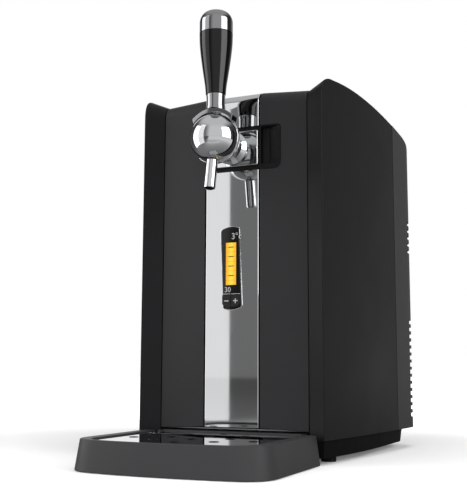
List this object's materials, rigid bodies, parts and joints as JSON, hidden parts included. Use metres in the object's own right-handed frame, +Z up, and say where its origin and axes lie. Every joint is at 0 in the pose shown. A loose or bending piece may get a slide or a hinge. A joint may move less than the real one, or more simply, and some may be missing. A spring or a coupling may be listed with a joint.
{
  "type": "mini keg beer dispenser",
  "caption": "Counter-top cooled dispenser for a five litre keg: barrel-sided dark body, lifting hood with steel strip, chrome ball tap with lever handle, and a large drip tray.",
  "frame": {"origin": "middle of the underside of the feet, under the middle of the whole machine with its drip tray", "axes": "+X to the right seen from the front, +Y to the rear, +Z up; the tap and tray face -Y"},
  "size_m": [0.2754, 0.4506, 0.4766],
  "materials": {
    "dark_plastic": "matte dark charcoal moulded plastic",
    "cover_plastic": "matte charcoal moulded plastic, a little lighter",
    "base_plastic": "matte near-black moulded plastic",
    "black_plastic": "satin black plastic",
    "gloss_black": "polished black plastic",
    "chrome": "bright chrome plating",
    "polished_steel": "mirror-polished stainless steel",
    "steel": "zinc-plated steel",
    "aluminium": "plain aluminium",
    "rubber": "black rubber",
    "foam": "white insulating foam",
    "liner_plastic": "grey moulded plastic",
    "circuit_board": "green circuit board",
    "ceramic": "white ceramic plates"
  },
  "bodies": {
    "chassis": {"side_shell_right": "dark_plastic", "side_shell_left": "dark_plastic", "rear_cover": "cover_plastic", "base_pan": "base_plastic", "inlet_socket": "black_plastic", "power_supply": "black_plastic", "fan_housing": "black_plastic", "cover_screw_1": "steel", "cover_screw_2": "steel", "cover_screw_3": "steel", "cover_screw_4": "steel", "hinge_bracket_right": "steel", "hinge_bracket_left": "steel", "hinge_pin_right": "steel", "hinge_pin_left": "steel", "cooling_plate": "aluminium", "cold_block": "aluminium", "heat_sink": "aluminium", "front_foot_right": "rubber", "front_foot_left": "rubber", "rear_foot_right": "rubber", "rear_foot_left": "rubber", "foam_right": "foam", "foam_left": "foam", "foam_rear": "foam", "chamber_liner": "liner_plastic", "peltier_module": "ceramic"},
    "hood": {"hood_frame": "black_plastic", "hood_panel_right": "dark_plastic", "hood_panel_left": "dark_plastic", "hood_strip_lower": "polished_steel", "hood_strip_upper": "polished_steel", "grip_bezel": "black_plastic", "tap_base_plate": "chrome", "tap_shank": "chrome", "tap_housing": "chrome", "tap_ball_front": "chrome", "tap_spout": "chrome", "tap_inlet": "steel", "display_module": "gloss_black", "control_board": "circuit_board"},
    "handle": {"handle_yoke": "chrome", "handle_neck": "chrome", "handle_grip": "gloss_black", "handle_cap": "chrome"},
    "minus_key": {"minus_key": "black_plastic"},
    "plus_key": {"plus_key": "black_plastic"},
    "fan": {"fan_rotor": "black_plastic"},
    "tray": {"drip_tray": "dark_plastic"},
    "plate": {"drip_plate": "polished_steel"}
  },
  "joints": [
    {"name": "hood_hinge", "type": "hinge", "parent": "chassis", "child": "hood", "pos_m": [0, 0.12325, 0.38234], "axis": [-1, 0, 0], "range_deg": [0, 70]},
    {"name": "tap_handle_hinge", "type": "hinge", "parent": "hood", "child": "handle", "pos_m": [0, -0.10705, 0.3354], "axis": [1, 0, 0], "range_deg": [0, 35], "stiffness_Nm_per_rad": 1.5},
    {"name": "minus_key_slide", "type": "slide", "parent": "hood", "child": "minus_key", "axis": [0, 1, 0], "range_m": [0, 0.0006], "stiffness_N_per_m": 500},
    {"name": "plus_key_slide", "type": "slide", "parent": "hood", "child": "plus_key", "axis": [0, 1, 0], "range_m": [0, 0.0006], "stiffness_N_per_m": 500},
    {"name": "fan_spin", "type": "hinge", "parent": "chassis", "child": "fan", "pos_m": [0, 0.18765, 0.18], "axis": [0, 1, 0], "continuous": true},
    {"name": "tray_slide", "type": "slide", "parent": "chassis", "child": "tray", "axis": [0, -1, 0], "range_m": [0, 0.12]},
    {"name": "plate_lift", "type": "slide", "parent": "tray", "child": "plate", "axis": [0, 0, 1], "range_m": [0, 0.03]}
  ]
}
